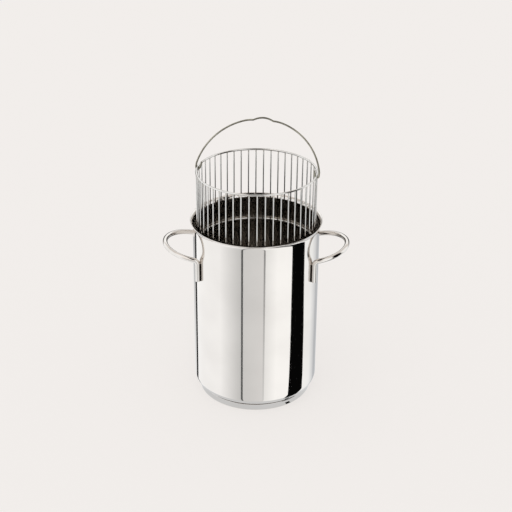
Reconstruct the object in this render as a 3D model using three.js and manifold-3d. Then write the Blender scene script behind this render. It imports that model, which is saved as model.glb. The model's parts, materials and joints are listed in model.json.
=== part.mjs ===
// Asparagus pot: a tall pot with a capsule base and two welded side handles,
// and a lift-out wire basket that hangs from a swinging bail.
// Millimetres, +Z up. The origin is the middle of the underside and the side handles lie along X.
import * as THREE from "three";
import { mergeVertices } from "three/addons/utils/BufferGeometryUtils.js";
import Module from "manifold-3d";

// Pot shell
const POT_INSIDE_DIAMETER = 160;
const POT_HEIGHT = 242.4;
const POT_WALL = 0.8;
const POT_CORNER_RADIUS = 12; // outside of the bottom corner
const LIP_FLARE = 3.6; // how far the pouring lip stands out from the wall
const LIP_FLARE_DEG = 65;

// Capsule base
const BASE_HEIGHT = 9; // underside of the base to underside of the shell
const BASE_INSET = 7.1; // how far the base cap stands in from the pot's wall
const BASE_EDGE_RADIUS = 2.2;
const BASE_SHEET = 0.7;

// Side handles, one bent rod each
const HANDLE_ROD = 6.2;
const HANDLE_SPREAD = 40; // half the distance between a handle's two legs
const HANDLE_LEG = 29.5;
const HANDLE_DROP = 40; // pot rim down to the rod centre where the legs turn outwards
const HANDLE_REACH = 36; // pot wall to the rod centre at the tip
const HANDLE_TILT_DEG = 12; // how steeply the loop climbs outwards
const HANDLE_BEND = 6;
const WELD_SEAT = 0.5; // depth of the hollow that seats a leg on the wall

// Basket
const BASKET_HEADROOM = 28.8; // pot rim down to the rim wire with the basket let down
const BASKET_LIFT = 93.6; // how far the basket is lifted off its seat
const BASKET_TURN_DEG = -10.5; // how the bail's hinge line lies to the side handles
const RIM_WIRE = 2.5;
const BASE_WIRE = 2.8;
const HOOP_WIRE = 2.6;
const HOOP_DROP = 100; // rim wire down to the hoop
const UPRIGHT_WIRE = 1.7;
const UPRIGHT_COUNT = 48;
const GRID_WIRE = 1.6;
const GRID_PITCH = 10;
const GRID_WELD = 0.5; // how far crossing grid wires sink into each other
const GRID_CROSS_SPACING = 50;

// Bail
const BAIL_WIRE = 2.2;
const BAIL_ARCH = 71; // hinge line to the crown of the plain arch
const BAIL_CREST = 1.7; // grip wave: its crest above the plain arch
const BAIL_DIP = 0.9; // and the dip on each side of the crest
const BAIL_GRIP_WIDTH = 25.4; // dip to dip
const BAIL_LEG = 7; // hinge line to the top of the straight leg outside the rim wire
const BAIL_TAIL = 7; // straight end of the hook inside the rim wire
const BAIL_TAIL_DEG = 10; // how far that end leans away from the rim wire
const BAIL_LEAN_DEG = 38; // lean towards the back
const EYELET_STRIP = 1.1;
const EYELET_DEPTH = 1.8;

// Clearances
const WELD_GAP = 0.3; // kept between pieces that are joined by a weld
const HOOK_GAP = 0.4; // between the bail's hook and the wires that it turns on
const HOOP_GAP = 0.85; // between the hoop, the widest part of the basket, and the pot's wall
const SEAT_GAP = 0.4; // between the base wire and the pot's corner with the basket let down

// How finely round shapes are cut
const POT_SIDES = 64;
const RING_STEPS = 48;
const WIRE_SIDES = 8;
const CORNER_STEPS = 6;
const EDGE_STEPS = 4;
const HANDLE_STEPS = 48;
const BAIL_STEPS = 140;

// Sizes that follow from those above
const potInner = POT_INSIDE_DIAMETER / 2;
const potOuter = potInner + POT_WALL;
const cornerCentre = potOuter - POT_CORNER_RADIUS;
const cornerHeight = BASE_HEIGHT + POT_CORNER_RADIUS;
const baseRadius = potOuter - BASE_INSET;
const hoopRadius = potInner - HOOP_GAP - HOOP_WIRE / 2;
const basketRadius = hoopRadius - (HOOP_WIRE + UPRIGHT_WIRE) / 2 - WELD_GAP;
const baseWireRadius = basketRadius - (BASE_WIRE + UPRIGHT_WIRE) / 2 - WELD_GAP;
const hookRadius = (RIM_WIRE + BAIL_WIRE) / 2 + HOOK_GAP;

// Let down, the base wire lies in the pot's rounded corner
const seatReach = POT_CORNER_RADIUS - POT_WALL - BASE_WIRE / 2 - SEAT_GAP;
const seatHeight = cornerHeight - Math.sqrt(seatReach ** 2 - (baseWireRadius - cornerCentre) ** 2);
const basketDepth = POT_HEIGHT - BASKET_HEADROOM - seatHeight;
const basketRimHeight = seatHeight + BASKET_LIFT + basketDepth;

const radians = THREE.MathUtils.degToRad;
const wasm = await Module();
wasm.setup();

const metal = (color, roughness) => new THREE.MeshStandardMaterial({ color, roughness, metalness: 1 });
const polishedSteel = metal(0xd6d5d2, 0.12);
const handleSteel = metal(0xcfcecb, 0.16);
const wireSteel = metal(0xc4c4c0, 0.2);
const bailSteel = metal(0xa9a89f, 0.25);
const aluminium = metal(0xb9bbbd, 0.45);

function piece(name, geometry, material) {
  const mesh = new THREE.Mesh(geometry, material);
  mesh.name = name;
  return mesh;
}

// Points of an arc in a plane, angles in degrees
function arc(centreX, centreY, radius, fromDeg, toDeg, steps) {
  return Array.from({ length: steps + 1 }, (_, i) => {
    const angle = radians(fromDeg + ((toDeg - fromDeg) * i) / steps);
    return new THREE.Vector2(centreX + radius * Math.cos(angle), centreY + radius * Math.sin(angle));
  });
}

function turned(profile) {
  return new THREE.LatheGeometry(profile, POT_SIDES).rotateX(Math.PI / 2);
}

// A round rod bent along a row of points
function bentRod(points, diameter, steps) {
  const path = new THREE.CatmullRomCurve3(points);
  path.arcLengthDivisions = 8 * steps;
  const section = new THREE.Shape(arc(0, 0, diameter / 2, 0, 360 - 360 / WIRE_SIDES, WIRE_SIDES - 1));
  return new THREE.ExtrudeGeometry(section, { steps, extrudePath: path });
}

// A straight rod along X
function straightRod(diameter, length) {
  return new THREE.CylinderGeometry(diameter / 2, diameter / 2, length, WIRE_SIDES).rotateZ(Math.PI / 2);
}

function solidFrom(geometry) {
  const bare = new THREE.BufferGeometry();
  bare.setAttribute("position", geometry.getAttribute("position"));
  bare.setIndex(geometry.getIndex());
  const merged = mergeVertices(bare, 1e-4);
  const vertProperties = merged.getAttribute("position").array;
  const triVerts = new Uint32Array(merged.getIndex().array);
  return new wasm.Manifold(new wasm.Mesh({ numProp: 3, vertProperties, triVerts }));
}

function geometryFrom(solid) {
  const mesh = solid.getMesh();
  const geometry = new THREE.BufferGeometry();
  geometry.setAttribute("position", new THREE.Float32BufferAttribute(mesh.vertProperties, 3));
  geometry.setIndex(Array.from(mesh.triVerts));
  return geometry;
}

// Pot shell: one drawn sheet, from the middle of its underside round the lip to the middle of its floor
function potShell() {
  const flareRadius = LIP_FLARE / (1 - Math.cos(radians(LIP_FLARE_DEG)));
  const flareCentre = potOuter + flareRadius;
  const flareHeight = POT_HEIGHT - (flareRadius + POT_WALL) * Math.sin(radians(LIP_FLARE_DEG));
  const lipDeg = 180 - LIP_FLARE_DEG;
  return turned([
    new THREE.Vector2(0, BASE_HEIGHT),
    ...arc(cornerCentre, cornerHeight, POT_CORNER_RADIUS, -90, 0, CORNER_STEPS),
    ...arc(flareCentre, flareHeight, flareRadius, 180, lipDeg, EDGE_STEPS),
    ...arc(flareCentre, flareHeight, flareRadius + POT_WALL, lipDeg, 180, EDGE_STEPS),
    ...arc(cornerCentre, cornerHeight, POT_CORNER_RADIUS - POT_WALL, 0, -90, CORNER_STEPS),
    new THREE.Vector2(0, BASE_HEIGHT + POT_WALL),
  ]);
}

// Underside of the shell at a given radius
function shellUnderside(radius) {
  const beyond = Math.max(radius - cornerCentre, 0);
  return cornerHeight - Math.sqrt(POT_CORNER_RADIUS ** 2 - beyond ** 2);
}

// Base cap: a shallow pressed cup that closes the base and stops short of the shell in a fine groove
function baseCap() {
  const inside = baseRadius - BASE_SHEET;
  const edgeCentre = baseRadius - BASE_EDGE_RADIUS;
  const brim = shellUnderside(inside) - WELD_GAP;
  return turned([
    new THREE.Vector2(0, 0),
    ...arc(edgeCentre, BASE_EDGE_RADIUS, BASE_EDGE_RADIUS, -90, 0, EDGE_STEPS),
    new THREE.Vector2(baseRadius, brim),
    new THREE.Vector2(inside, brim),
    ...arc(edgeCentre, BASE_EDGE_RADIUS, BASE_EDGE_RADIUS - BASE_SHEET, 0, -90, EDGE_STEPS),
    new THREE.Vector2(0, BASE_SHEET),
  ]);
}

// Heat-spreading core, sealed between the cap and the shell
function baseCore() {
  const edgeCentre = baseRadius - BASE_EDGE_RADIUS;
  const edge = BASE_EDGE_RADIUS - BASE_SHEET - WELD_GAP;
  const top = BASE_HEIGHT - WELD_GAP;
  return turned([
    new THREE.Vector2(0, BASE_SHEET + WELD_GAP),
    ...arc(edgeCentre, BASE_EDGE_RADIUS, edge, -90, 0, EDGE_STEPS),
    new THREE.Vector2(edgeCentre + edge, top),
    new THREE.Vector2(0, top),
  ]);
}

// Side handle on +X: two legs welded to the wall, bends, and a half-oval loop that climbs outwards
function sideHandle() {
  const seatRadius = potOuter + WELD_GAP;
  const legRadius = seatRadius + HANDLE_ROD / 2 - WELD_SEAT;
  const legX = Math.sqrt(legRadius ** 2 - HANDLE_SPREAD ** 2);
  const legTop = POT_HEIGHT - HANDLE_DROP;
  const bendHeight = legTop - HANDLE_BEND;
  const bend = arc(legX + HANDLE_BEND, bendHeight, HANDLE_BEND, 180, 90 + HANDLE_TILT_DEG, EDGE_STEPS);
  const loopStart = bend[bend.length - 1];
  const loopReach = potOuter + HANDLE_REACH - loopStart.x;
  const climb = Math.tan(radians(HANDLE_TILT_DEG));
  const loop = arc(0, 0, 1, 90, 0, 2 * EDGE_STEPS).slice(1);
  const half = [
    new THREE.Vector3(legX, HANDLE_SPREAD, legTop - HANDLE_LEG),
    new THREE.Vector3(legX, HANDLE_SPREAD, bendHeight - HANDLE_BEND),
    ...bend.map((p) => new THREE.Vector3(p.x, HANDLE_SPREAD, p.y)),
    ...loop.map((p) => {
      const out = loopReach * p.x;
      return new THREE.Vector3(loopStart.x + out, HANDLE_SPREAD * p.y, loopStart.y + climb * out);
    }),
  ];
  const otherHalf = half.slice(0, -1).reverse();
  const points = [...half, ...otherHalf.map((p) => new THREE.Vector3(p.x, -p.y, p.z))];
  const rod = bentRod(points, HANDLE_ROD, HANDLE_STEPS);
  const wall = new THREE.CylinderGeometry(seatRadius, seatRadius, 2 * POT_HEIGHT, 2 * POT_SIDES);
  return geometryFrom(solidFrom(rod).subtract(solidFrom(wall.rotateX(Math.PI / 2))));
}

function wireRing(radius, wire, height) {
  return new THREE.TorusGeometry(radius, wire / 2, WIRE_SIDES, RING_STEPS).translate(0, 0, height);
}

// Upright wire: a straight rod from the outside of the base wire, just clear of the pot's corner, to the rim wire
function uprightWire(angle) {
  const top = -RIM_WIRE / 2 - WELD_GAP;
  const bottom = -basketDepth + UPRIGHT_WIRE / 2;
  return straightRod(UPRIGHT_WIRE, top - bottom)
    .rotateY(Math.PI / 2)
    .translate(basketRadius, 0, (top + bottom) / 2)
    .rotateZ(angle);
}

// Base grid: parallel wires spot-welded to two cross wires, all inside the base wire
function baseGrid() {
  const reach = baseWireRadius - BASE_WIRE / 2 - WELD_GAP;
  const level = (GRID_WIRE - GRID_WELD) / 2;
  const rod = (offset, height) => {
    const length = 2 * Math.sqrt(reach ** 2 - (Math.abs(offset) + GRID_WIRE / 2) ** 2);
    return straightRod(GRID_WIRE, length).translate(0, offset, height - basketDepth);
  };
  const crossRod = (offset) => solidFrom(rod(offset, -level).rotateZ(Math.PI / 2));
  let grid = crossRod(GRID_CROSS_SPACING / 2).add(crossRod(-GRID_CROSS_SPACING / 2));
  for (let offset = GRID_PITCH / 2; offset < reach - GRID_PITCH / 2; offset += GRID_PITCH) {
    grid = grid.add(solidFrom(rod(offset, level))).add(solidFrom(rod(-offset, level)));
  }
  return geometryFrom(grid);
}

// Eyelet: a small strip staple under the rim wire, in which the bail's hook turns
function bailEyelet() {
  const inside = BAIL_WIRE / 2 + HOOK_GAP;
  const outside = inside + EYELET_STRIP;
  const top = hookRadius - RIM_WIRE / 2 - WELD_GAP;
  const strip = new THREE.Shape();
  strip.moveTo(-outside, top);
  strip.lineTo(-outside, 0);
  strip.absarc(0, 0, outside, Math.PI, 2 * Math.PI);
  strip.lineTo(outside, top);
  strip.lineTo(inside, top);
  strip.lineTo(inside, 0);
  strip.absarc(0, 0, inside, 2 * Math.PI, Math.PI, true);
  strip.lineTo(-inside, top);
  const acrossRim = new THREE.Vector3(1, 0, 0);
  const alongRim = new THREE.Vector3(0, 1, 0);
  const upwards = new THREE.Vector3(0, 0, 1);
  return new THREE.ExtrudeGeometry(strip, { depth: EYELET_DEPTH, bevelEnabled: false, curveSegments: WIRE_SIDES })
    .translate(0, 0, -EYELET_DEPTH / 2)
    .applyMatrix4(new THREE.Matrix4().makeBasis(alongRim, upwards, acrossRim));
}

// Bail: hooked ends round the rim wire, straight legs and an arch with a wavy grip, drawn upright
function bailWire() {
  const legX = basketRadius + hookRadius;
  const archCentre = (BAIL_ARCH ** 2 - legX ** 2 - BAIL_LEG ** 2) / (2 * (BAIL_ARCH - BAIL_LEG));
  const archRadius = BAIL_ARCH - archCentre;
  const legTopDeg = THREE.MathUtils.radToDeg(Math.asin((BAIL_LEG - archCentre) / archRadius));
  const arch = arc(0, archCentre, archRadius, legTopDeg, 90, 6 * CORNER_STEPS);
  const grip = (x) => {
    const waves = x / (BAIL_GRIP_WIDTH / 2);
    if (waves < 1) return BAIL_CREST - (BAIL_CREST + BAIL_DIP) * waves ** 2;
    return waves < 2 ? -BAIL_DIP * (2 - waves) ** 2 : 0;
  };
  const hook = arc(basketRadius, hookRadius, hookRadius, BAIL_TAIL_DEG - 180, 0, 2 * EDGE_STEPS);
  const tail = new THREE.Vector2(0, BAIL_TAIL).rotateAround(new THREE.Vector2(), radians(BAIL_TAIL_DEG));
  const half = [tail.add(hook[0]), ...hook, ...arch.map((p) => new THREE.Vector2(p.x, p.y + grip(p.x)))];
  const right = half.map((p) => new THREE.Vector3(p.x, 0, p.y));
  const left = half.slice(0, -1).map((p) => new THREE.Vector3(-p.x, 0, p.y));
  return bentRod([...right, ...left.reverse()], BAIL_WIRE, BAIL_STEPS);
}

const pot = new THREE.Group();
pot.name = "pot";
pot.add(piece("pot_shell", potShell(), polishedSteel));
pot.add(piece("base_core", baseCore(), aluminium));
pot.add(piece("base_cap", baseCap(), polishedSteel));
const handleRight = piece("handle_right", sideHandle(), handleSteel);
const handleLeft = piece("handle_left", sideHandle(), handleSteel);
handleLeft.rotation.z = Math.PI;
pot.add(handleRight, handleLeft);

// Basket: its origin is the centre of the rim wire's circle, and the hinge line lies along its X
const basket = new THREE.Group();
basket.name = "basket";
basket.position.z = basketRimHeight;
basket.rotation.z = radians(BASKET_TURN_DEG);
basket.add(piece("basket_rim_ring", wireRing(basketRadius, RIM_WIRE, 0), wireSteel));
basket.add(piece("basket_mid_hoop", wireRing(hoopRadius, HOOP_WIRE, -HOOP_DROP), wireSteel));
basket.add(piece("basket_base_ring", wireRing(baseWireRadius, BASE_WIRE, -basketDepth), wireSteel));
basket.add(piece("basket_base_grid", baseGrid(), wireSteel));
for (let i = 0; i < UPRIGHT_COUNT; i += 1) {
  const angle = (2 * Math.PI * (i + 0.5)) / UPRIGHT_COUNT;
  basket.add(piece(`basket_wire_${String(i + 1).padStart(2, "0")}`, uprightWire(angle), wireSteel));
}
const eyeletLeft = piece("bail_eyelet_left", bailEyelet(), wireSteel);
const eyeletRight = piece("bail_eyelet_right", bailEyelet(), wireSteel);
eyeletLeft.position.set(-basketRadius, 0, -hookRadius);
eyeletRight.position.set(basketRadius, 0, -hookRadius);
basket.add(eyeletLeft, eyeletRight);

const bail = piece("bail", bailWire(), bailSteel);
bail.position.z = -hookRadius;
bail.rotation.x = -radians(BAIL_LEAN_DEG);
basket.add(bail);

const asparagusPot = new THREE.Group();
asparagusPot.name = "asparagus_pot";
asparagusPot.add(pot, basket);

export default asparagusPot;
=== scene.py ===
# Looks of the asparagus pot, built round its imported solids. Metres, +Z up, side handles along X.
import json
import math

import bpy
from mathutils import Matrix, Vector

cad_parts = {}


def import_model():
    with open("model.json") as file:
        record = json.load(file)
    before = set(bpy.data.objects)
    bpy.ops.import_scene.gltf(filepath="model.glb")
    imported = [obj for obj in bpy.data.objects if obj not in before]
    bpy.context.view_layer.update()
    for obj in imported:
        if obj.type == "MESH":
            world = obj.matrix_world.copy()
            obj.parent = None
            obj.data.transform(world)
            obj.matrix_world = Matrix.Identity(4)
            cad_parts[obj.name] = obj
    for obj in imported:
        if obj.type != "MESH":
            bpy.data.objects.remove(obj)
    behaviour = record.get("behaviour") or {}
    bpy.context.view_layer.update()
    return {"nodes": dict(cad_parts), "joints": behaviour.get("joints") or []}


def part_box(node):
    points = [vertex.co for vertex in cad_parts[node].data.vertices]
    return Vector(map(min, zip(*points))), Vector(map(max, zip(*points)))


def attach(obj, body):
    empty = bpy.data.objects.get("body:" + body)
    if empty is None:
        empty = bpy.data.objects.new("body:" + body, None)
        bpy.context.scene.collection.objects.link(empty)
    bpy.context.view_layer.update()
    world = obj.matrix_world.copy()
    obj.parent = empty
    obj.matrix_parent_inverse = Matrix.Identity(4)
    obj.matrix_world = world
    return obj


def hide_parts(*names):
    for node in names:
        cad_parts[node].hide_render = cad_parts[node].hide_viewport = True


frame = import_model()

MM = 0.001
WELD_GAP = 0.3 * MM  # kept between welded pieces in the solids
WELD_SINK = 0.3 * MM  # how far a weld reaches into the pieces it joins

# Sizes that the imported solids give
shell_low, shell_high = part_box("pot_shell")
rim_low, rim_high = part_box("basket_rim_ring")
hoop_low, hoop_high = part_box("basket_mid_hoop")
base_low, base_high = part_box("basket_base_ring")
leg_low, leg_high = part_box("handle_right")
hinge = next(joint for joint in frame["joints"] if joint["name"] == "bail_swing")

# Pot shell and capsule base
POT_WALL = 0.8 * MM
POT_HEIGHT = shell_high.z
BASE_HEIGHT = shell_low.z
LIP_FLARE = 3.6 * MM
LIP_FLARE_DEG = 65
CORNER_RADIUS = 12 * MM
POT_OUTER = 80.8 * MM
BASE_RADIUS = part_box("base_cap")[1].x
BASE_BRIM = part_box("base_cap")[1].z
BASE_EDGE_RADIUS = 2.2 * MM
BASE_SHEET = 0.7 * MM
BASE_GROOVE = 0.6 * MM  # how much the brim's rounded edge opens the groove under the shell

# Side handles
HANDLE_ROD = 6.2 * MM
HANDLE_SPREAD = 40 * MM
HANDLE_BEND = 6 * MM
HANDLE_TILT_DEG = 12
HANDLE_TIP = leg_high.x - HANDLE_ROD / 2
HANDLE_LEG_RADIUS = POT_OUTER + 2.9 * MM
HANDLE_LEG_TOP = POT_HEIGHT - 40 * MM
HANDLE_LEG_FOOT = leg_low.z
HANDLE_END_EDGE = 0.7 * MM
SEAM_WIDTH = 1.6 * MM
SEAM_SINK = 0.35 * MM
SEAM_START = 0.6 * MM  # how far above the leg's foot a seam starts
SEAM_RIPPLE = 0.08
SEAM_RIPPLE_STEPS = 4
SEAM_TAPER = 0.25  # the lower, the blunter a seam's ends
SEAM_END = 0.02  # share of a seam's length that keeps the girth of its tip

# Basket wires
BASKET_TURN = math.atan2(hinge["axis"][1], hinge["axis"][0])
BASKET_RADIUS = 75.4 * MM
RIM_WIRE = rim_high.z - rim_low.z
RIM_HEIGHT = (rim_high.z + rim_low.z) / 2
HOOP_WIRE = hoop_high.z - hoop_low.z
HOOP_HEIGHT = (hoop_high.z + hoop_low.z) / 2
HOOP_RADIUS = 77.85 * MM
BASE_WIRE = base_high.z - base_low.z
BASE_WIRE_HEIGHT = (base_high.z + base_low.z) / 2
UPRIGHT_WIRE = 1.7 * MM
BASE_WIRE_RADIUS = BASKET_RADIUS - (BASE_WIRE + UPRIGHT_WIRE) / 2 - WELD_GAP
UPRIGHT_COUNT = sum(name.startswith("basket_wire_") for name in frame["nodes"])
GRID_WIRE = 1.6 * MM
GRID_PITCH = 10 * MM
GRID_CROSS_SPACING = 50 * MM
GRID_WELD = 0.5 * MM
SPOT_WELD = 1.2 * MM
SPOT_WELD_FLARE = 0.25
# Girth of an upright, as (distance above its foot or below its head, share of its diameter)
UPRIGHT_FOOT = ((0, 0.7), (0.1 * MM, 0.9), (0.3 * MM, 1.0))
UPRIGHT_HEAD = ((1.8 * MM, 1.0), (1.0 * MM, 1.12), (0.5 * MM, 1.3), (0, 1.35))

# Bail and its eyelets
HINGE_HEIGHT = hinge["pos_m"][2]
BAIL_WIRE = 2.2 * MM
BAIL_ARCH = 70.98 * MM
BAIL_CREST = 1.7 * MM
BAIL_DIP = 0.9 * MM
BAIL_GRIP_WIDTH = 25.4 * MM
BAIL_LEG = 7 * MM
BAIL_TAIL = 7 * MM
BAIL_TAIL_DEG = 10
BAIL_LEAN_DEG = 38
HOOK_RADIUS = RIM_HEIGHT - HINGE_HEIGHT
EYELET_STRIP = 1.1 * MM
EYELET_DEPTH = 1.8 * MM
EYELET_PLAY = 0.4 * MM
EYELET_INSIDE = BAIL_WIRE / 2 + EYELET_PLAY
EYELET_CORNER = 0.25 * MM

# How finely round shapes are cut
POT_SIDES = 256
RING_STEPS = 240
ROD_SIDES = 24
WIRE_SIDES = 14
ARC_STEPS = 16
DOME_STEPS = 5
DOME_DEG = 88  # a rounded end stops just short of its tip
SEAM_STEPS = 48
SPOT_WELD_STEPS = 6
CORNER_STEPS = 4
SUPPORT_AWAY = 0.4 * MM  # how far inside a straight's ends its added points lie
SUPPORT_LEAST = 6 * SUPPORT_AWAY  # the shortest straight that gets them

# How the finishes vary
CLOUD_RANGE = (0.35, 0.65)  # noise that gives a metal's first and second tone
LINE_RANGE = (0.3, 0.7)  # noise that gives its smoothest and dullest lines
HEAT_STRAW = "#C2AE86"
HEAT_TINT = 0.3
HEAT_REACH = 5 * MM

# Camera of the photograph
CAMERA_AIM = Vector((0, 0, 188.9 * MM))
CAMERA_DISTANCE = 1541.3 * MM
CAMERA_ELEVATION_DEG = 26.55
CAMERA_ROLL_DEG = 0.48
CAMERA_LENS_MM = 83.87
CAMERA_SENSOR_MM = 36
CAMERA_CLIP_END = 50
elevation = math.radians(CAMERA_ELEVATION_DEG)
CAMERA_BACK = Vector((0, -math.cos(elevation), math.sin(elevation)))
CAMERA_RIGHT = Vector((1, 0, 0))
CAMERA_PLACE = CAMERA_AIM + CAMERA_BACK * CAMERA_DISTANCE

# Tones of the stage
PALE = "#F2EEEB"
WHITE = "#EDEFF1"
BRIGHT = "#F3F5F6"
# Painted contact shade: the grey that the base mirrors from the floor right round its foot
BASE_SHADE_GREY = "#C4C7CA"
SOFT_BLACK = "#1A1918"
BACK_BLACK = "#100F0F"
BLACK = "#060606"

# Floor and light
FLOOR_REACH = 6.0
FLOOR_HEIGHT = -0.05 * MM
SHADOW_SHARE = 0.22  # how much of the floor's own shading shows
WORLD_STRENGTH = 0.92
KEY_STRENGTH = 0.3
KEY_SPREAD_DEG = 60
KEY_TURN_DEG = (35, -20, 0)

# Cards that the metal mirrors
CARD_STRENGTH = 1.43
CARD_STEPS = 12
CARD_HEIGHT = 0.05 * MM
STRIP_HEIGHT = 0.1 * MM
CARD_NEAR = 10 * MM
CARD_REACH = 1500 * MM
WALL_REACH = 480 * MM  # the farthest floor that the wall mirrors to the camera
ARCH_RADIUS = 0.42
ARCH_HEIGHT = 0.2
ARCH_HALF_WIDTH = 0.076
BACK_FLOOR_HALF_WIDTH = 0.13
BACK_FLOOR_SPAN = (0.13, 0.66)

# Edges of the cards on the floor, in degrees round the pot from the front towards +X
LEFT_WHITE_FROM = -69
LEFT_FADING_FROM = -34
FRONT_GREY_FROM = -12.6
RIGHT_FADING_FROM = 7.4
RIGHT_WHITE_FROM = 19
FAR_WHITE_FROM = 40
FAR_FADING_FROM = 60
RIGHT_EDGE_FROM = 71
RIGHT_EDGE_TO = 88

# Outlines of the strips on those cards, as rows of a distance from the wall and two angles round the pot
LEFT_RIM_STRIP = ((CARD_NEAR, -88, -74.8), (WALL_REACH, -88, -73.4))
LEFT_EDGE_STRIP = ((CARD_NEAR, -74.5, -68.8), (CARD_REACH, -73.2, -68.3))
FRONT_LEFT_STRIP = ((CARD_NEAR, -12.9, -11.2), (CARD_REACH, -12.9, -11.2))
FRONT_RIGHT_STRIP = ((CARD_NEAR, 6.7, 8.2), (WALL_REACH, 6.9, 8.4))
BLACK_STRIP = (
    (5 * MM, 30.8, 48.5), (40 * MM, 32.2, 49.6), (80 * MM, 33, 50.1),
    (200 * MM, 33.6, 49.8), (WALL_REACH, 33.6, 48.2), (CARD_REACH, 33.6, 48.2))

# Edges of the cards that curve round the pot, as (distance from its axis, height)
TALL_FLAG = ((0.62, 0), (0.62, 1.28))
SOFT_BOX = ((1.3, 0), (1.3, 1.7))
BACK_FLAG = ((0.6, 0), (0.6, 0.44))
STRIP_LIGHT = ((1.2, 0.5), (1.2, 1.08))
# Painted contact shade: a grey ring on the floor round the foot, seen only in reflections, in place of the
# floor's own shadow there
SHADE_RING = ((BASE_RADIUS, CARD_HEIGHT / 2), (POT_OUTER + CARD_NEAR, CARD_HEIGHT / 2))
BASE_MARK = ((BASE_RADIUS + 1 * MM, CARD_HEIGHT), (POT_OUTER - 1 * MM, CARD_HEIGHT))

# Directions that they reach between, in degrees from the front towards +X
SHADE_RING_SPAN = (-100, 100)
BASE_MARK_SPAN = (35.4, 41.0)
TALL_FLAG_SPAN = (49, 86)
LEFT_BOX_SPAN = (-141, -32)
RIGHT_BOX_SPAN = (80, 128)
FRONT_BOX_SPAN = (8, 54)
BACK_FLAG_SPAN = (118, 240)
STRIP_LIGHT_SPAN = (135, 225)
OVERHEAD_SPAN = (31, 100)  # counted upwards from the horizon in front

scene = bpy.context.scene


def linear(hex_code):
    """The linear colour of an sRGB hex value."""
    channels = [int(hex_code[i:i + 2], 16) / 255 for i in (1, 3, 5)]
    return tuple(c / 12.92 if c <= 0.04045 else ((c + 0.055) / 1.055) ** 2.4 for c in channels) + (1.0,)


def node(tree, kind, inputs=None, **settings):
    """Adds a node. Inputs are constants, or output sockets to link from."""
    made = tree.nodes.new(kind)
    for name, value in settings.items():
        setattr(made, name, value)
    for name, value in (inputs or {}).items():
        if isinstance(value, bpy.types.NodeSocket):
            tree.links.new(value, made.inputs[name])
        else:
            made.inputs[name].default_value = value
    return made


def empty_material(name):
    """A material without nodes, and its node tree."""
    material = bpy.data.materials.new(name)
    material.use_nodes = True
    material.node_tree.nodes.clear()
    return material, material.node_tree


def metal(name, tones, tone_size, polish, streak, streak_depth, wave, wave_depth):
    """A bare metal with a cloudy tone, a streaky polish, fine lines and a slight waviness.

    polish is (smooth, dull) roughness, streak the size of one line along each axis, all sizes in metres."""
    material, tree = empty_material(name)
    place = node(tree, "ShaderNodeTexCoord").outputs["Object"]
    cloud = node(tree, "ShaderNodeTexNoise", {"Vector": place, "Scale": 1 / tone_size, "Detail": 3.0})
    cloudy = node(tree, "ShaderNodeMapRange", {
        "Value": cloud.outputs["Fac"], "From Min": CLOUD_RANGE[0], "From Max": CLOUD_RANGE[1]})
    tone = node(tree, "ShaderNodeMix", {
        "Factor": cloudy.outputs["Result"], "A": linear(tones[0]), "B": linear(tones[1])}, data_type="RGBA")
    drawn = node(tree, "ShaderNodeMapping", {"Vector": place, "Scale": [1 / size for size in streak]})
    lines = node(tree, "ShaderNodeTexNoise", {"Vector": drawn.outputs["Vector"], "Scale": 1.0, "Detail": 2.0})
    dull = node(tree, "ShaderNodeMapRange", {
        "Value": lines.outputs["Fac"], "From Min": LINE_RANGE[0], "From Max": LINE_RANGE[1],
        "To Min": polish[0], "To Max": polish[1]})
    scratch = node(tree, "ShaderNodeBump", {"Height": lines.outputs["Fac"], "Distance": streak_depth})
    swell = node(tree, "ShaderNodeTexNoise", {"Vector": place, "Scale": 1 / wave, "Detail": 0.0})
    relief = node(tree, "ShaderNodeBump", {
        "Height": swell.outputs["Fac"], "Distance": wave_depth, "Normal": scratch.outputs["Normal"]})
    shader = node(tree, "ShaderNodeBsdfPrincipled", {
        "Metallic": 1.0, "Base Color": tone.outputs["Result"], "Roughness": dull.outputs["Result"],
        "Normal": relief.outputs["Normal"]})
    node(tree, "ShaderNodeOutputMaterial", {"Surface": shader.outputs["BSDF"]})
    return material


def buffed_stainless_sheet():
    # Deep-drawn stainless sheet, buffed on a wheel: a near mirror whose edges of reflections waver a little,
    # with hazy streaks round the body. The streaks are drawn ten times as coarse as real buffing lines.
    return metal(
        "buffed_stainless_sheet", tones=("#D8D3CE", "#DED9D4"), tone_size=60 * MM, polish=(0.03, 0.07),
        streak=(40 * MM, 40 * MM, 1.2 * MM), streak_depth=0.0008 * MM, wave=55 * MM, wave_depth=0.004 * MM)


def satin_ground_stainless():
    # The inside of the same sheet, ground with an abrasive belt as it spins: fine lines round the wall
    # spread each reflection into a soft grey sheen.
    return metal(
        "satin_ground_stainless", tones=("#B2ACA4", "#BFB9B1"), tone_size=30 * MM, polish=(0.16, 0.26),
        streak=(30 * MM, 30 * MM, 0.8 * MM), streak_depth=0.003 * MM, wave=40 * MM, wave_depth=0.004 * MM)


def polished_stainless_rod():
    # Bent stainless rod, tumbled bright: clear highlights along the rod, with a slight orange-peel that makes
    # them waver.
    return metal(
        "polished_stainless_rod", tones=("#D5D0CA", "#DDD8D3"), tone_size=20 * MM, polish=(0.04, 0.1),
        streak=(1.5 * MM, 1.5 * MM, 1.5 * MM), streak_depth=0.0015 * MM, wave=12 * MM, wave_depth=0.004 * MM)


def near_black_weld():
    # A rough weld seam in near-black, dark brown tones, filling the corner by the leg: it reads as a black
    # line beside the bright leg.
    return metal(
        "near_black_weld", tones=("#120F0D", "#2A241F"), tone_size=3 * MM, polish=(0.45, 0.65),
        streak=(1.2 * MM, 1.2 * MM, 0.8 * MM), streak_depth=0.03 * MM, wave=2 * MM, wave_depth=0.02 * MM)


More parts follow.
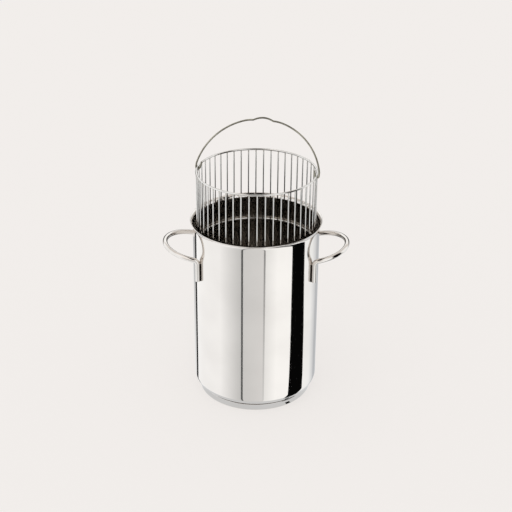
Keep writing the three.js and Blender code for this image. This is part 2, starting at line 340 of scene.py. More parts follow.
def electropolished_wire(name, tint=0.0):
    # Drawn stainless wire, spot-welded and then electropolished: bright, with faint lines along the wire and,
    # on the uprights, a straw tint that the welding heat leaves close under the rim and above the base wire.
    material = metal(
        name, tones=("#D0CDC9", "#DCDAD6"), tone_size=9 * MM, polish=(0.06, 0.13),
        streak=(0.5 * MM, 0.5 * MM, 18 * MM), streak_depth=0.002 * MM, wave=6 * MM, wave_depth=0.002 * MM)
    if tint:
        tree = material.node_tree
        shader = next(n for n in tree.nodes if n.type == "BSDF_PRINCIPLED")
        tone = shader.inputs["Base Color"].links[0].from_socket
        place = node(tree, "ShaderNodeTexCoord").outputs["Object"]
        height = node(tree, "ShaderNodeSeparateXYZ", {"Vector": place}).outputs["Z"]
        under_rim, over_base = (
            node(tree, "ShaderNodeMapRange", {
                "Value": height, "From Min": weld, "From Max": weld + away, "To Min": tint, "To Max": 0.0})
            for weld, away in ((RIM_HEIGHT, -HEAT_REACH), (BASE_WIRE_HEIGHT, HEAT_REACH)))
        heat = node(tree, "ShaderNodeMath", {0: under_rim.outputs["Result"], 1: over_base.outputs["Result"]},
                    operation="MAXIMUM")
        tinted = node(tree, "ShaderNodeMix", {
            "Factor": heat.outputs["Value"], "A": tone, "B": linear(HEAT_STRAW)}, data_type="RGBA")
        tree.links.new(tinted.outputs["Result"], shader.inputs["Base Color"])
    return material


def drawn_spring_wire():
    # Hard-drawn stainless wire, left as it comes off the die: darker and a little olive, with draw marks.
    return metal(
        "drawn_spring_wire", tones=("#6A675B", "#A9A698"), tone_size=22 * MM, polish=(0.12, 0.22),
        streak=(0.6 * MM, 0.6 * MM, 0.6 * MM), streak_depth=0.004 * MM, wave=5 * MM, wave_depth=0.004 * MM)


def rolled_aluminium():
    # Rolled aluminium plate, pale and dull with a straight grain.
    return metal(
        "rolled_aluminium", tones=("#B4B6B8", "#C2C4C6"), tone_size=25 * MM, polish=(0.35, 0.5),
        streak=(60 * MM, 0.8 * MM, 0.8 * MM), streak_depth=0.02 * MM, wave=50 * MM, wave_depth=0.01 * MM)


def arc(centre, radius, from_deg, to_deg, steps=ARC_STEPS):
    """Points of an arc in a plane, both ends included."""
    angles = [math.radians(from_deg + (to_deg - from_deg) * i / steps) for i in range(steps + 1)]
    return [(centre[0] + radius * math.cos(a), centre[1] + radius * math.sin(a)) for a in angles]


def supported(profile):
    """The profile with a point close inside both ends of each long straight, which keeps its shading flat."""
    points = [profile[0]]
    for start, end in zip(profile, profile[1:]):
        a, b = Vector(start), Vector(end)
        run = b - a
        if run.length > SUPPORT_LEAST:
            points.append(tuple(a + run.normalized() * SUPPORT_AWAY))
            points.append(tuple(b - run.normalized() * SUPPORT_AWAY))
        points.append(end)
    return points


def add_piece(name, mesh, body, slot, *nodes):
    """Puts a finished mesh in the scene, on its body, in the place of the solids that it stands for."""
    piece = bpy.data.objects.new(name, mesh)
    scene.collection.objects.link(piece)
    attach(piece, body)
    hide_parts(*nodes)
    return piece


def turned(name, profile, materials, second_from=None):
    """A closed body of revolution, whose profile runs from axis to axis with the outside first.

    From row second_from on, the faces take the second material."""
    rows = profile[1:-1]
    vertices = [(0, 0, profile[0][1]), (0, 0, profile[-1][1])]
    for radius, height in rows:
        for i in range(POT_SIDES):
            angle = 2 * math.pi * i / POT_SIDES
            vertices.append((radius * math.cos(angle), radius * math.sin(angle), height))
    faces = []
    face_rows = []
    for i in range(POT_SIDES):
        j = (i + 1) % POT_SIDES
        faces.append((0, 2 + j, 2 + i))
        face_rows.append(0)
        for row in range(len(rows) - 1):
            low = 2 + row * POT_SIDES
            high = low + POT_SIDES
            faces.append((low + i, low + j, high + j, high + i))
            face_rows.append(row + 1)
        top = 2 + (len(rows) - 1) * POT_SIDES
        faces.append((1, top + i, top + j))
        face_rows.append(len(rows))
    mesh = bpy.data.meshes.new(name)
    mesh.from_pydata(vertices, [], faces)
    for material in materials:
        mesh.materials.append(material)
    if second_from is not None:
        mesh.polygons.foreach_set("material_index", [int(row >= second_from) for row in face_rows])
    mesh.shade_smooth()
    return mesh


def node_tree(name, sockets):
    """An empty geometry tree with named inputs, and the sockets that give them."""
    tree = bpy.data.node_groups.new(name, "GeometryNodeTree")
    tree.interface.new_socket("Geometry", in_out="INPUT", socket_type="NodeSocketGeometry")
    for socket, kind in sockets.items():
        tree.interface.new_socket(socket, in_out="INPUT", socket_type="NodeSocket" + kind)
    tree.interface.new_socket("Geometry", in_out="OUTPUT", socket_type="NodeSocketGeometry")
    return tree, node(tree, "NodeGroupInput").outputs


def close_tree(tree, geometry, material):
    """Ends a tree in plain, smooth, painted mesh."""
    plain = node(tree, "GeometryNodeRealizeInstances", {"Geometry": geometry})
    smooth = node(tree, "GeometryNodeSetShadeSmooth", {"Geometry": plain.outputs["Geometry"]})
    painted = node(tree, "GeometryNodeSetMaterial", {
        "Geometry": smooth.outputs["Geometry"], "Material": material})
    node(tree, "NodeGroupOutput", {"Geometry": painted.outputs["Geometry"]})


def rod_tree():
    """A round rod along each path, as thick as the path's own girth says."""
    tree, given = node_tree("rod_along_path", {"Diameter": "Float", "Sides": "Int", "Material": "Material"})
    half = node(tree, "ShaderNodeMath", {0: given["Diameter"], 1: 0.5}, operation="MULTIPLY")
    section = node(tree, "GeometryNodeCurvePrimitiveCircle",
                   {"Resolution": given["Sides"], "Radius": half.outputs["Value"]})
    rod = node(tree, "GeometryNodeCurveToMesh", {
        "Curve": given["Geometry"], "Profile Curve": section.outputs["Curve"], "Fill Caps": True})
    close_tree(tree, rod.outputs["Mesh"], given["Material"])
    return tree


def round_tree():
    """Copies of one piece set evenly round the upright axis."""
    tree, given = node_tree("copies_round_axis", {"Count": "Int", "Turn": "Float", "Material": "Material"})
    points = node(tree, "GeometryNodePoints", {"Count": given["Count"]})
    index = node(tree, "GeometryNodeInputIndex").outputs["Index"]
    pitch = node(tree, "ShaderNodeMath", {0: 2 * math.pi, 1: given["Count"]}, operation="DIVIDE")
    angle = node(tree, "ShaderNodeMath", {0: index, 1: pitch.outputs["Value"], 2: given["Turn"]},
                 operation="MULTIPLY_ADD")
    turn = node(tree, "ShaderNodeCombineXYZ", {"Z": angle.outputs["Value"]})
    rotation = node(tree, "FunctionNodeEulerToRotation", {"Euler": turn.outputs["Vector"]})
    copies = node(tree, "GeometryNodeInstanceOnPoints", {
        "Points": points.outputs["Points"], "Instance": given["Geometry"],
        "Rotation": rotation.outputs["Rotation"]})
    close_tree(tree, copies.outputs["Instances"], given["Material"])
    return tree


def grown(name, paths, closed, *layers):
    """The mesh that grows from paths of (place, girth) points when node trees act on them in turn."""
    curve = bpy.data.curves.new(name, "CURVE")
    curve.dimensions = "3D"
    for path in paths:
        spline = curve.splines.new("POLY")
        spline.points.add(len(path) - 1)
        spline.use_cyclic_u = closed
        for point, (place, girth) in zip(spline.points, path):
            point.co = (*place, 1)
            point.radius = girth
    holder = bpy.data.objects.new(name + "_path", curve)
    scene.collection.objects.link(holder)
    for tree, values in layers:
        modifier = holder.modifiers.new(tree.name, "NODES")
        modifier.node_group = tree
        for item in tree.interface.items_tree:
            if item.item_type == "SOCKET" and item.in_out == "INPUT" and item.name in values:
                modifier[item.identifier] = values[item.name]
    graph = bpy.context.evaluated_depsgraph_get()
    mesh = bpy.data.meshes.new_from_object(holder.evaluated_get(graph))
    mesh.name = name
    bpy.data.objects.remove(holder)
    bpy.data.curves.remove(curve)
    return mesh


def with_ends(points, radius, edge):
    """A path of full girth for a rod, its cut ends rounded over an edge radius."""
    def ending(end, before):
        outwards = (end - before).normalized()
        angles = [math.radians(DOME_DEG * i / DOME_STEPS) for i in range(DOME_STEPS + 1)]
        return [(end + outwards * edge * (math.sin(a) - 1), 1 - (1 - math.cos(a)) * edge / radius)
                for a in angles]

    first = ending(points[0], points[1])
    last = ending(points[-1], points[-2])
    return [*reversed(first), *((place, 1.0) for place in points[1:-1]), *last]


def in_basket(place):
    """Turns a place from the basket's own directions, with the hinge line along X, to the pot's."""
    return Matrix.Rotation(BASKET_TURN, 3, "Z") @ Vector(place)


def pot_shell(outside, inside):
    """The drawn sheet: rounded corner, straight wall, flared lip with a rounded edge, and the inside."""
    corner = (POT_OUTER - CORNER_RADIUS, BASE_HEIGHT + CORNER_RADIUS)
    flare_radius = LIP_FLARE / (1 - math.cos(math.radians(LIP_FLARE_DEG)))
    flare_height = POT_HEIGHT - (flare_radius + POT_WALL) * math.sin(math.radians(LIP_FLARE_DEG))
    flare = (POT_OUTER + flare_radius, flare_height)
    lip_reach = flare_radius + POT_WALL / 2
    lip_deg = 180 - LIP_FLARE_DEG + math.degrees(POT_WALL / 2 / lip_reach)
    lip = (flare[0] + lip_reach * math.cos(math.radians(lip_deg)),
           flare[1] + lip_reach * math.sin(math.radians(lip_deg)))
    outer = [
        (0, BASE_HEIGHT),
        *arc(corner, CORNER_RADIUS, -90, 0),
        *arc(flare, flare_radius, 180, lip_deg),
        *arc(lip, POT_WALL / 2, lip_deg - 180, lip_deg)[1:-1],
        *arc(flare, flare_radius + POT_WALL, lip_deg, 180),
    ]
    inner = [
        *arc(corner, CORNER_RADIUS - POT_WALL, 0, -90),
        (0, BASE_HEIGHT + POT_WALL),
    ]
    ground_from = len(supported(outer)) - 1
    return turned("pot_shell_drawn", supported([*outer, *inner]), (outside, inside), ground_from)


def base_cap(steel):
    """The pressed cap of the capsule base, whose brim ends in a rounded edge under the shell."""
    inside = BASE_RADIUS - BASE_SHEET
    edge = (BASE_RADIUS - BASE_EDGE_RADIUS, BASE_EDGE_RADIUS)
    brim = (BASE_RADIUS - BASE_SHEET / 2, BASE_BRIM - BASE_GROOVE - BASE_SHEET / 2)
    return turned("base_cap_pressed", supported([
        (0, 0),
        *arc(edge, BASE_EDGE_RADIUS, -90, 0),
        *arc(brim, BASE_SHEET / 2, 0, 180),
        (inside, edge[1]),
        *arc(edge, BASE_EDGE_RADIUS - BASE_SHEET, 0, -90),
        (0, BASE_SHEET),
    ]), (steel,))


def handle_path(side):
    """Rod centre of a side handle: leg, bend, half-oval loop that climbs outwards, bend, leg."""
    leg_x = math.sqrt(HANDLE_LEG_RADIUS ** 2 - HANDLE_SPREAD ** 2)
    bend_centre = (leg_x + HANDLE_BEND, HANDLE_LEG_TOP - HANDLE_BEND)
    bend = arc(bend_centre, HANDLE_BEND, 180, 90 + HANDLE_TILT_DEG)
    start_x, start_z = bend[-1]
    reach = HANDLE_TIP - start_x
    climb = math.tan(math.radians(HANDLE_TILT_DEG))
    loop = arc((0, 0), 1, 90, 0, 3 * ARC_STEPS)[1:]
    half = [Vector((leg_x, HANDLE_SPREAD, HANDLE_LEG_FOOT))]
    half += [Vector((x, HANDLE_SPREAD, z)) for x, z in bend]
    half += [Vector((start_x + reach * x, HANDLE_SPREAD * y, start_z + climb * reach * x)) for x, y in loop]
    other = [Vector((p.x, -p.y, p.z)) for p in reversed(half[:-1])]
    return [Vector((side * p.x, side * p.y, p.z)) for p in half + other]


def seam_path(side, end, hand):
    """One weld seam, which fills the corner between a handle leg and the wall on one side of the leg."""
    from_axis = POT_OUTER + SEAM_WIDTH / 2 - SEAM_SINK
    from_leg = (HANDLE_ROD + SEAM_WIDTH) / 2 - SEAM_SINK
    leg_deg = math.degrees(math.asin(HANDLE_SPREAD / HANDLE_LEG_RADIUS))
    apart = (HANDLE_LEG_RADIUS ** 2 + from_axis ** 2 - from_leg ** 2) / (2 * HANDLE_LEG_RADIUS * from_axis)
    angle = math.radians(end * leg_deg) + hand * math.acos(apart)
    low = HANDLE_LEG_FOOT + SEAM_START
    high = HANDLE_LEG_TOP - HANDLE_BEND
    path = []
    for i in range(SEAM_STEPS + 1):
        along = i / SEAM_STEPS
        ripple = 1 - SEAM_RIPPLE + SEAM_RIPPLE * math.cos(2 * math.pi * i / SEAM_RIPPLE_STEPS)
        girth = ripple * math.sin(math.pi * min(max(along, SEAM_END), 1 - SEAM_END)) ** SEAM_TAPER
        height = low + (high - low) * along
        place = Vector((side * from_axis * math.cos(angle), side * from_axis * math.sin(angle), height))
        path.append((place, girth))
    return path


def ring_path(radius, height):
    """Wire centre of a level ring round the pot's axis."""
    angles = [2 * math.pi * i / RING_STEPS for i in range(RING_STEPS)]
    return [(Vector((radius * math.cos(a), radius * math.sin(a), height)), 1.0) for a in angles]


def upright_path():
    """One upright, swollen a little where it is welded under the rim wire and rounded at its foot."""
    head = RIM_HEIGHT - RIM_WIRE / 2 + WELD_SINK
    foot = BASE_WIRE_HEIGHT + UPRIGHT_WIRE / 2
    steps = [(foot + away, girth) for away, girth in UPRIGHT_FOOT]
    steps += [(head - away, girth) for away, girth in UPRIGHT_HEAD]
    return [(Vector((BASKET_RADIUS, 0, height)), girth) for height, girth in steps]


def weld_path(inner, outer, height):
    """One spot weld between an upright and the wire beside it, wider at both ends."""
    inner -= WELD_SINK
    outer += WELD_SINK
    path = []
    for i in range(SPOT_WELD_STEPS + 1):
        place = Vector((inner + (outer - inner) * i / SPOT_WELD_STEPS, 0, height))
        path.append((place, 1.0 + SPOT_WELD_FLARE * abs(2 * i / SPOT_WELD_STEPS - 1)))
    return path


def grid_paths():
    """Parallel wires with two cross wires under them, all ending in the base wire."""
    reach = BASE_WIRE_RADIUS - BASE_WIRE / 2 + WELD_SINK
    level = (GRID_WIRE - GRID_WELD) / 2

    def rod(offset, height, across):
        half = math.sqrt(reach ** 2 - offset ** 2)
        ends = [(-half, offset), (half, offset)]
        return [(in_basket((-y, x, height) if across else (x, y, height)), 1.0) for x, y in ends]

    rows = int(reach / GRID_PITCH)
    offsets = [GRID_PITCH * (i + 0.5) for i in range(rows)]
    rods = [rod(side * offset, BASE_WIRE_HEIGHT + level, False) for offset in offsets for side in (-1, 1)]
    cross = [rod(side * GRID_CROSS_SPACING / 2, BASE_WIRE_HEIGHT - level, True) for side in (-1, 1)]
    return rods + cross


def bail_path():
    """Wire centre of the bail: hooked ends round the rim wire, straight legs and an arch with a wavy grip."""
    leg_x = BASKET_RADIUS + HOOK_RADIUS
    centre = (BAIL_ARCH ** 2 - leg_x ** 2 - BAIL_LEG ** 2) / (2 * (BAIL_ARCH - BAIL_LEG))
    radius = BAIL_ARCH - centre
    leg_top_deg = math.degrees(math.asin((BAIL_LEG - centre) / radius))
    arch = arc((0, centre), radius, leg_top_deg, 90, 6 * ARC_STEPS)

    def grip(x):
        waves = x / (BAIL_GRIP_WIDTH / 2)
        if waves < 1:
            return BAIL_CREST - (BAIL_CREST + BAIL_DIP) * waves ** 2
        return -BAIL_DIP * max(2 - waves, 0) ** 2

    hook = arc((BASKET_RADIUS, HOOK_RADIUS), HOOK_RADIUS, BAIL_TAIL_DEG - 180, 0)
    tilt = math.radians(BAIL_TAIL_DEG)
    tail = (hook[0][0] - BAIL_TAIL * math.sin(tilt), hook[0][1] + BAIL_TAIL * math.cos(tilt))
    half = [tail, *hook, *((x, y + grip(x)) for x, y in arch)]
    whole = half + [(-x, y) for x, y in reversed(half[:-1])]
    lean = Matrix.Rotation(-math.radians(BAIL_LEAN_DEG), 3, "X")
    return [in_basket(lean @ Vector((x, 0, y))) + Vector((0, 0, HINGE_HEIGHT)) for x, y in whole]


def eyelet(name, side, steel):
    """A strip staple under the rim wire, in which the bail's hook turns."""
    middle = EYELET_INSIDE + EYELET_STRIP / 2
    top = HOOK_RADIUS - RIM_WIRE / 2 + WELD_SINK
    line = [(-middle, top), *arc((0, 0), middle, 180, 360, 2 * ARC_STEPS), (middle, top)]
    half = EYELET_DEPTH / 2
    section = []
    for x, y, from_deg in ((1, 1, 0), (-1, 1, 90), (-1, -1, 180), (1, -1, 270)):
        middle_of_corner = (x * (EYELET_STRIP / 2 - EYELET_CORNER), y * (half - EYELET_CORNER))
        section += arc(middle_of_corner, EYELET_CORNER, from_deg, from_deg + 90, CORNER_STEPS)
    vertices = []
    for i, point in enumerate(line):
        before = Vector(line[max(i - 1, 0)])
        after = Vector(line[min(i + 1, len(line) - 1)])
        along = (after - before).normalized()
        across = Vector((-along.y, along.x))
        for thick, deep in section:
            flat = Vector(point) + across * thick
            place = Vector((side * BASKET_RADIUS + deep, flat.x, flat.y))
            vertices.append(in_basket(place) + Vector((0, 0, HINGE_HEIGHT)))
    count = len(section)
    faces = [tuple(range(count - 1, -1, -1))]
    for row in range(len(line) - 1):
        low = row * count
        for i in range(count):
            j = (i + 1) % count
            faces.append((low + i, low + j, low + count + j, low + count + i))
    last = (len(line) - 1) * count
    faces.append(tuple(range(last, last + count)))
    mesh = bpy.data.meshes.new(name)
    mesh.from_pydata(vertices, [], faces)
    mesh.materials.append(steel)
    mesh.shade_smooth()
    return mesh


def stage_object(name, vertices, faces, material):
    """Puts a plain mesh on the stage."""
    mesh = bpy.data.meshes.new(name)
    mesh.from_pydata(vertices, [], faces)
    mesh.materials.append(material)
    made = bpy.data.objects.new(name, mesh)
    scene.collection.objects.link(made)
    return made


def seen_rays(tree):
    """One for rays that show the backdrop, straight or in metal and glass."""
    path = node(tree, "ShaderNodeLightPath").outputs
    mirrored = node(tree, "ShaderNodeMath", {0: path["Is Glossy Ray"], 1: path["Is Transmission Ray"]},
                    operation="MAXIMUM")
    return node(tree, "ShaderNodeMath", {0: path["Is Camera Ray"], 1: mirrored.outputs["Value"]},
                operation="MAXIMUM").outputs["Value"]


def floor():
    """A pale floor that shows its own colour, darkened a little by the object's shadow."""
    material, tree = empty_material("pale_floor")
    paint = node(tree, "ShaderNodeBsdfDiffuse", {"Color": linear(PALE)})
    backdrop = node(tree, "ShaderNodeEmission", {"Color": linear(PALE), "Strength": 1.0})
    share = node(tree, "ShaderNodeMath", {0: seen_rays(tree), 1: 1 - SHADOW_SHARE}, operation="MULTIPLY")
    mixed = node(tree, "ShaderNodeMixShader", {
        0: share.outputs["Value"], 1: paint.outputs["BSDF"], 2: backdrop.outputs["Emission"]})
    node(tree, "ShaderNodeOutputMaterial", {"Surface": mixed.outputs["Shader"]})
    square = ((-1, -1), (1, -1), (1, 1), (-1, 1))
    corners = [(x * FLOOR_REACH, y * FLOOR_REACH, FLOOR_HEIGHT) for x, y in square]
    stage_object("floor", corners, [(0, 1, 2, 3)], material)


def card(name, rows, tones, fades=None):
    """A card that only reflections show, changing from one tone to another along its rows of two points.

    fades are the shares of its length and width over which its ends and its two long edges turn clear."""
    material, tree = empty_material(name)
    # The metal's own rays find a card; sampled as a lamp as well, it would speckle the dark bands.
    material.cycles.emission_sampling = "NONE"
    along = node(tree, "ShaderNodeSeparateXYZ", {"Vector": node(tree, "ShaderNodeTexCoord").outputs["UV"]})
    tone = node(tree, "ShaderNodeMix", {
        "Factor": along.outputs["X"], "A": linear(tones[0]), "B": linear(tones[1])}, data_type="RGBA")
    glow = node(tree, "ShaderNodeEmission", {"Color": tone.outputs["Result"], "Strength": CARD_STRENGTH})
    surface = glow.outputs["Emission"]
    if fades:
        ends, first_edge, last_edge = fades
        solid = 1.0
        for axis, edge, inside in (
                ("X", 0, ends), ("X", 1, 1 - ends), ("Y", 0, first_edge), ("Y", 1, 1 - last_edge)):
            if edge != inside:
                inwards = node(tree, "ShaderNodeMapRange", {
                    "Value": along.outputs[axis], "From Min": edge, "From Max": inside},
                    interpolation_type="SMOOTHSTEP")
                solid = node(tree, "ShaderNodeMath", {0: solid, 1: inwards.outputs["Result"]},
                             operation="MULTIPLY").outputs["Value"]
        clear = node(tree, "ShaderNodeBsdfTransparent")
        surface = node(tree, "ShaderNodeMixShader", {
            0: solid, 1: clear.outputs["BSDF"], 2: surface}).outputs["Shader"]
    node(tree, "ShaderNodeOutputMaterial", {"Surface": surface})
    vertices = [point for row in rows for point in row]
    faces = [(2 * i, 2 * i + 1, 2 * i + 3, 2 * i + 2) for i in range(len(rows) - 1)]
    made = stage_object(name, vertices, faces, material)
    places = made.data.uv_layers.new(name="along")
    for loop in made.data.loops:
        row, end = divmod(loop.vertex_index, 2)
        places.uv[loop.index].vector = (row / (len(rows) - 1), end)
    for ray in ("camera", "diffuse", "transmission", "volume_scatter", "shadow"):
        setattr(made, "visible_" + ray, False)


def floor_place(deg, reach):
    """The floor point, so far out, that the wall at an angle round the pot mirrors to the camera."""
    angle = math.radians(deg)
    outwards = Vector((math.sin(angle), -math.cos(angle)))
    foot = outwards * POT_OUTER
    sight = foot - CAMERA_PLACE.xy
    away = (sight - 2 * sight.dot(outwards) * outwards).normalized()
    return foot + away * reach


def between(from_deg, to_deg):
    """Evenly spaced angles from one to the other, for the rows of a card."""
    return [from_deg + (to_deg - from_deg) * i / CARD_STEPS for i in range(CARD_STEPS + 1)]


def floor_card(name, from_deg, to_deg, *tones):
    """A card laid on the floor, whose tone changes round the pot."""
    rows = []
    for deg in between(from_deg, to_deg):
        rows.append([(*floor_place(deg, reach), CARD_HEIGHT) for reach in (CARD_NEAR, CARD_REACH)])
    card(name, rows, tones)


def floor_strip(name, outline, *tones):
    """A strip laid on the cards, whose tone changes outwards along the rows of its outline."""
    rows = []
    for reach, *edges in outline:
        rows.append([(*floor_place(deg, reach), STRIP_HEIGHT) for deg in edges])
    card(name, rows, tones)


def round_card(name, span, edges, *tones, fades=None):
    """A card with two level edges that curve round the pot's axis."""
    rows = []
    for deg in between(*span):
        angle = math.radians(deg)
        rows.append([(away * math.sin(angle), -away * math.cos(angle), height) for away, height in edges])
    card(name, rows, tones, fades)


def overhead_card(name, span, *tones):
    """A strip that arches over the pot from the camera's side, between two heights above the horizon."""
    rows = []
    for deg in between(*span):
        angle = math.radians(deg)
        y = -ARCH_RADIUS * math.cos(angle)
        height = ARCH_HEIGHT + ARCH_RADIUS * math.sin(angle)
        rows.append([(x, y, height) for x in (-ARCH_HALF_WIDTH, ARCH_HALF_WIDTH)])
    card(name, rows, tones)


def camera():
    """A camera at the photograph's viewing angle."""
    data = bpy.data.cameras.new("camera")
    data.sensor_width = CAMERA_SENSOR_MM
    data.lens = CAMERA_LENS_MM
    data.clip_end = CAMERA_CLIP_END
    axes = Matrix((CAMERA_RIGHT, CAMERA_BACK.cross(CAMERA_RIGHT), CAMERA_BACK)).transposed()
    roll = Matrix.Rotation(math.radians(CAMERA_ROLL_DEG), 3, "Z")
    made = bpy.data.objects.new("camera", data)
    made.matrix_world = Matrix.Translation(CAMERA_PLACE) @ (axes @ roll).to_4x4()
    scene.collection.objects.link(made)
    scene.camera = made


def world():
    """Even studio light, seen as the pale backdrop."""
    made = bpy.data.worlds.new("studio")
    made.use_nodes = True
    tree = made.node_tree
    tree.nodes.clear()
    light = node(tree, "ShaderNodeBackground", {"Color": (1, 1, 1, 1), "Strength": WORLD_STRENGTH})
    seen = node(tree, "ShaderNodeBackground", {"Color": linear(PALE), "Strength": 1.0})
    mixed = node(tree, "ShaderNodeMixShader", {
        0: seen_rays(tree), 1: light.outputs["Background"], 2: seen.outputs["Background"]})
    node(tree, "ShaderNodeOutputWorld", {"Surface": mixed.outputs["Shader"]})
    scene.world = made


def key_light():
    """A broad lamp from the upper front left, which gives the shadow its direction."""
    data = bpy.data.lights.new("key", "SUN")
    data.energy = KEY_STRENGTH
    data.angle = math.radians(KEY_SPREAD_DEG)
    lamp = bpy.data.objects.new("key", data)
    lamp.rotation_euler = [math.radians(deg) for deg in KEY_TURN_DEG]
    scene.collection.objects.link(lamp)


# Finishes
sheet_steel = buffed_stainless_sheet()
inner_steel = satin_ground_stainless()
rod_steel = polished_stainless_rod()
seam_steel = near_black_weld()
wire_steel = electropolished_wire("electropolished_wire")
welded_steel = electropolished_wire("heat_tinted_wire", HEAT_TINT)
bail_steel = drawn_spring_wire()
core_metal = rolled_aluminium()
core = frame["nodes"]["base_core"]
core.data.materials.clear()
core.data.materials.append(core_metal)

# Pot
add_piece("pot_shell_drawn", pot_shell(sheet_steel, inner_steel), "pot", "shell_steel", "pot_shell")
add_piece("base_cap_pressed", base_cap(sheet_steel), "pot", "shell_steel", "base_cap")
rod = rod_tree()
copies = round_tree()
rod_finish = {"Diameter": HANDLE_ROD, "Sides": ROD_SIDES, "Material": rod_steel}
seam_finish = {"Diameter": SEAM_WIDTH, "Sides": WIRE_SIDES, "Material": seam_steel}
for side, word in ((1, "right"), (-1, "left")):
    path = with_ends(handle_path(side), HANDLE_ROD / 2, HANDLE_END_EDGE)
    mesh = grown(f"handle_{word}_bent", [path], False, (rod, rod_finish))
    add_piece(f"handle_{word}_bent", mesh, "pot", "handle_steel", f"handle_{word}")
    seams = [seam_path(side, end, hand) for end in (-1, 1) for hand in (-1, 1)]
    mesh = grown(f"handle_{word}_seams", seams, False, (rod, seam_finish))
    add_piece(f"handle_{word}_seams", mesh, "pot", "handle_steel")

# Basket
for word, radius, height, wire, solid in (
        ("rim_wire", BASKET_RADIUS, RIM_HEIGHT, RIM_WIRE, "basket_rim_ring"),
        ("guide_hoop", HOOP_RADIUS, HOOP_HEIGHT, HOOP_WIRE, "basket_mid_hoop"),
        ("base_wire", BASE_WIRE_RADIUS, BASE_WIRE_HEIGHT, BASE_WIRE, "basket_base_ring")):
    finish = {"Diameter": wire, "Sides": WIRE_SIDES, "Material": wire_steel}
    mesh = grown(f"basket_{word}", [ring_path(radius, height)], True, (rod, finish))
    add_piece(f"basket_{word}", mesh, "basket", "basket_steel", solid)
wire_finish = {"Diameter": UPRIGHT_WIRE, "Sides": WIRE_SIDES, "Material": welded_steel}
around = {"Count": UPRIGHT_COUNT, "Turn": BASKET_TURN + math.pi / UPRIGHT_COUNT, "Material": welded_steel}
mesh = grown("basket_uprights", [upright_path()], False, (rod, wire_finish), (copies, around))
upright_names = [f"basket_wire_{i + 1:02d}" for i in range(UPRIGHT_COUNT)]
add_piece("basket_uprights", mesh, "basket", "basket_steel", *upright_names)
weld_finish = {"Diameter": SPOT_WELD, "Sides": WIRE_SIDES, "Material": welded_steel}
welds = [
    weld_path(BASKET_RADIUS + UPRIGHT_WIRE / 2, HOOP_RADIUS - HOOP_WIRE / 2, HOOP_HEIGHT),
    weld_path(BASE_WIRE_RADIUS + BASE_WIRE / 2, BASKET_RADIUS - UPRIGHT_WIRE / 2,
              BASE_WIRE_HEIGHT + UPRIGHT_WIRE),
]
mesh = grown("basket_spot_welds", welds, False, (rod, weld_finish), (copies, around))
add_piece("basket_spot_welds", mesh, "basket", "basket_steel")
grid_finish = {"Diameter": GRID_WIRE, "Sides": WIRE_SIDES, "Material": wire_steel}
mesh = grown("basket_grid", grid_paths(), False, (rod, grid_finish))
add_piece("basket_grid", mesh, "basket", "basket_steel", "basket_base_grid")
for side, word in ((1, "right"), (-1, "left")):
    name = f"bail_eyelet_{word}_strip"
    add_piece(name, eyelet(name, side, wire_steel), "basket", "basket_steel", f"bail_eyelet_{word}")

# Bail
bail_finish = {"Diameter": BAIL_WIRE, "Sides": ROD_SIDES, "Material": bail_steel}
mesh = grown("bail_bent", [with_ends(bail_path(), BAIL_WIRE / 2, BAIL_WIRE / 2)], False, (rod, bail_finish))
add_piece("bail_bent", mesh, "bail", "bail_steel", "bail")

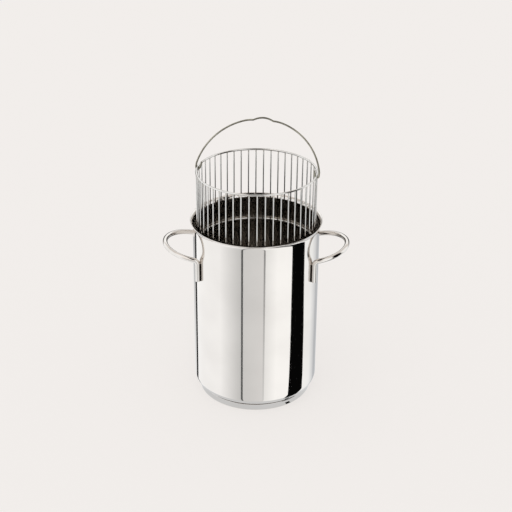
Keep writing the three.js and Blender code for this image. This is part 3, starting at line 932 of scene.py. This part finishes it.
# Stage
floor()
camera()
world()
key_light()
floor_card("left_white_card", LEFT_WHITE_FROM, LEFT_FADING_FROM, WHITE, WHITE)
floor_card("left_fading_card", LEFT_FADING_FROM, FRONT_GREY_FROM, WHITE, "#BDBFC0")
floor_card("front_grey_card", FRONT_GREY_FROM, RIGHT_FADING_FROM, "#C8CACB", "#D0D1D2")
floor_card("right_fading_card", RIGHT_FADING_FROM, RIGHT_WHITE_FROM, "#DEE0E1", BRIGHT)
floor_card("right_white_card", RIGHT_WHITE_FROM, FAR_WHITE_FROM, BRIGHT, BRIGHT)
floor_card("far_right_white_card", FAR_WHITE_FROM, FAR_FADING_FROM, BRIGHT, "#E6E9EB")
floor_card("far_right_fading_card", FAR_FADING_FROM, RIGHT_EDGE_FROM, "#E6E9EB", "#B9BCC0")
floor_card("right_edge_card", RIGHT_EDGE_FROM, RIGHT_EDGE_TO, "#ABAEB2", "#A6A9AC")
floor_strip("left_rim_card", LEFT_RIM_STRIP, "#D2D3D4", "#A2A3A4")
floor_strip("left_edge_flag", LEFT_EDGE_STRIP, "#222323", "#2E2F2F")
floor_strip("front_left_edge", FRONT_LEFT_STRIP, "#545657", "#545657")
floor_strip("front_right_edge", FRONT_RIGHT_STRIP, "#CBCDCE", "#858687")
floor_strip("right_black_flag", BLACK_STRIP, BLACK, BLACK)
# Painted contact shade that the base cap mirrors, in place of the floor's shadow round the foot
round_card("base_contact_shade_card", SHADE_RING_SPAN, SHADE_RING, BASE_SHADE_GREY, BASE_SHADE_GREY)
round_card("base_black_flag", BASE_MARK_SPAN, BASE_MARK, BLACK, BLACK)
round_card("right_tall_flag", TALL_FLAG_SPAN, TALL_FLAG, BLACK, BLACK, fades=(0.16, 0.06, 0.3))
round_card("left_soft_box", LEFT_BOX_SPAN, SOFT_BOX, WHITE, WHITE, fades=(0.12, 0, 0.3))
round_card("right_soft_box", RIGHT_BOX_SPAN, SOFT_BOX, WHITE, WHITE, fades=(0.2, 0, 0.3))
round_card("front_right_soft_box", FRONT_BOX_SPAN, SOFT_BOX, WHITE, WHITE, fades=(0.2, 0, 0.3))
round_card("back_flag", BACK_FLAG_SPAN, BACK_FLAG, BACK_BLACK, BACK_BLACK, fades=(0.23, 0.22, 0.35))
round_card("back_strip_light", STRIP_LIGHT_SPAN, STRIP_LIGHT, BRIGHT, BRIGHT, fades=(0.15, 0.25, 0.25))
sides = (-BACK_FLOOR_HALF_WIDTH, BACK_FLOOR_HALF_WIDTH)
back_floor = [[(x, y, CARD_HEIGHT) for y in BACK_FLOOR_SPAN] for x in sides]
card("back_floor_flag", back_floor, (SOFT_BLACK, SOFT_BLACK), fades=(0.3, 0, 0.45))
overhead_card("overhead_gap", OVERHEAD_SPAN, SOFT_BLACK, BLACK)
scene.view_settings.view_transform = "Standard"
